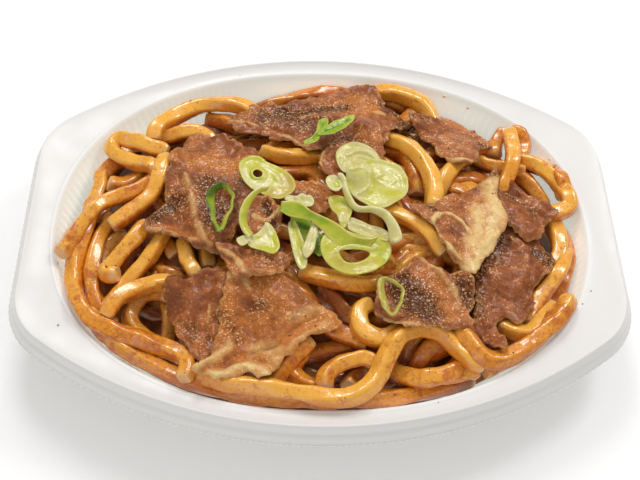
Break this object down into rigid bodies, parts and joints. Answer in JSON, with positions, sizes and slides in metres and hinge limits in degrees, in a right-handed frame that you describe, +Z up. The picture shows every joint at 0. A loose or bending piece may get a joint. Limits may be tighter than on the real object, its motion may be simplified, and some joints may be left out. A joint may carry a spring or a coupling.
{
  "type": "yaki udon on a tray",
  "caption": "Stir-fried thick wheat noodles heaped in an oval white tray with a wide flange, topped with thin pork slices and cut green onion.",
  "frame": {"origin": "middle of the tray's base", "axes": "+X along the tray, +Y to its far long side, +Z up"},
  "size_m": [0.243, 0.184, 0.0537],
  "materials": {
    "tray": "white moulded plastic, satin",
    "noodle": "amber wheat noodle glazed with sauce",
    "meat": "fried pork, mauve brown with pale fat, oily",
    "green_onion": "raw green onion, moist"
  },
  "bodies": {
    "root": {"meat_back": "meat", "meat_far": "meat", "meat_far_right": "meat", "meat_fatty": "meat", "meat_left": "meat", "meat_middle": "meat", "meat_middle_small": "meat", "meat_near": "meat", "meat_near_lobe": "meat", "meat_neck": "meat", "meat_right_high": "meat", "meat_right_low": "meat", "meat_round": "meat", "noodles": "noodle", "onion_blade": "green_onion", "onion_curl": "green_onion", "onion_disc_back": "green_onion", "onion_disc_front": "green_onion", "onion_fold": "green_onion", "onion_half_ring": "green_onion", "onion_heart": "green_onion", "onion_loop": "green_onion", "onion_ring_dark": "green_onion", "onion_ring_olive": "green_onion", "onion_ring_small": "green_onion", "onion_sprig": "green_onion", "onion_wedge": "green_onion", "tray": "tray"}
  },
  "joints": []
}
